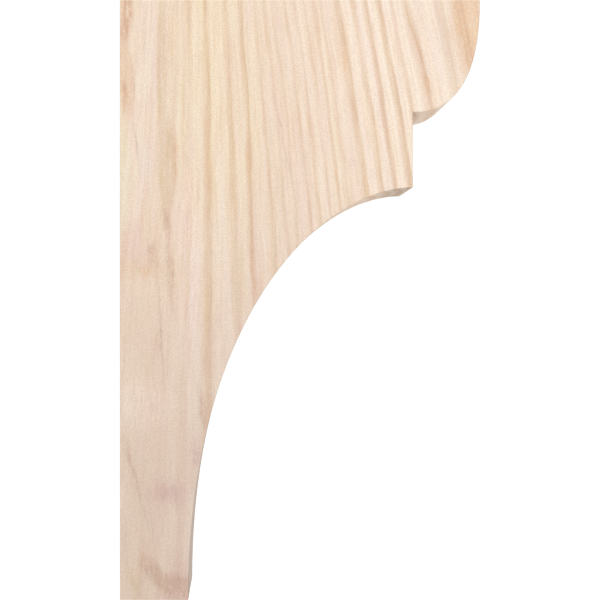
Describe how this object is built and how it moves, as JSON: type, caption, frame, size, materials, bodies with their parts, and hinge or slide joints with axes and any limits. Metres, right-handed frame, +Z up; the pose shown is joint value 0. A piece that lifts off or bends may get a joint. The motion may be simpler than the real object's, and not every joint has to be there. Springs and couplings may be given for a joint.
{
  "type": "wooden corbel bracket",
  "caption": "Solid softwood corbel bracket with a rounded nose, a square step and a sweeping concave arch down to a slim foot, built against a wall to carry an overhang.",
  "frame": {"origin": "centre of the back face, where the bracket lies on the wall", "axes": "+X out from the wall towards the nose, Y across the thickness, +Z up towards the flat top"},
  "size_m": [0.3048, 0.0888, 0.508],
  "materials": {
    "softwood": "smooth sanded, unfinished pale softwood with straight to fanning growth-ring grain"
  },
  "bodies": {
    "root": {"bracket": "softwood"}
  },
  "joints": []
}
